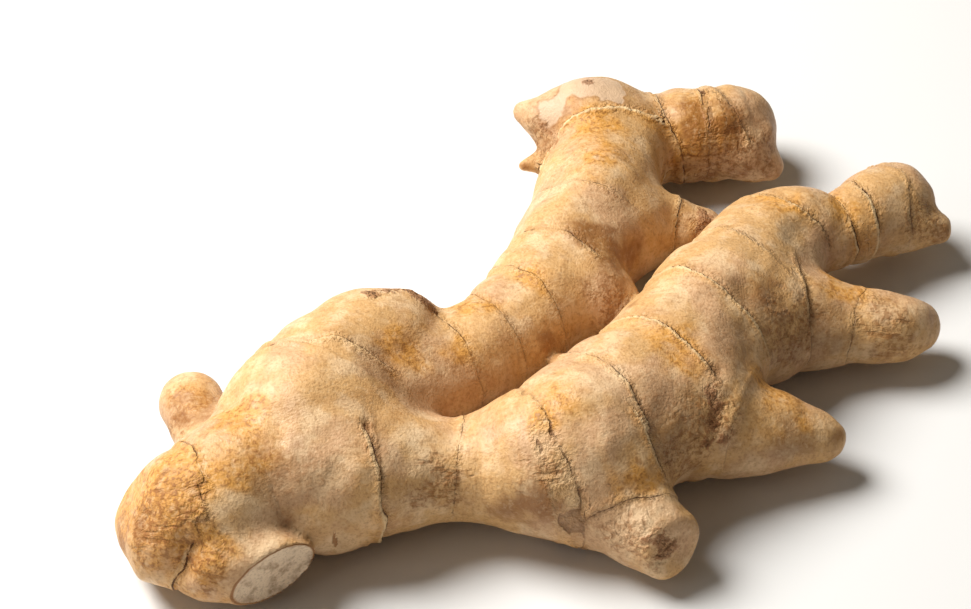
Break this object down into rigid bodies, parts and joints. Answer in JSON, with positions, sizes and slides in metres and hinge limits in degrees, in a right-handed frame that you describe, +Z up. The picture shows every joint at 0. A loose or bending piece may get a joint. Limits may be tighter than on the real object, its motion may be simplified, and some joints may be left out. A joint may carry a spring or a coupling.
{
  "type": "ginger root",
  "caption": "A whole fresh ginger root: a tan, knobbly rhizome with short blunt fingers in a nearly flat plane, ringed by brown leaf scars, with a knife-cut stub",
  "frame": {"origin": "on the resting plane, under the middle of the root's bounding box", "axes": "+Z up, +X along the root from its thick heel to the finger tips, +Y towards the rear branch, away from the viewer"},
  "size_m": [0.1783, 0.1542, 0.0363],
  "materials": {
    "skin": "thin dry cork skin of a fresh ginger root, satin"
  },
  "bodies": {
    "root": {"ginger_root": "skin"}
  },
  "joints": []
}
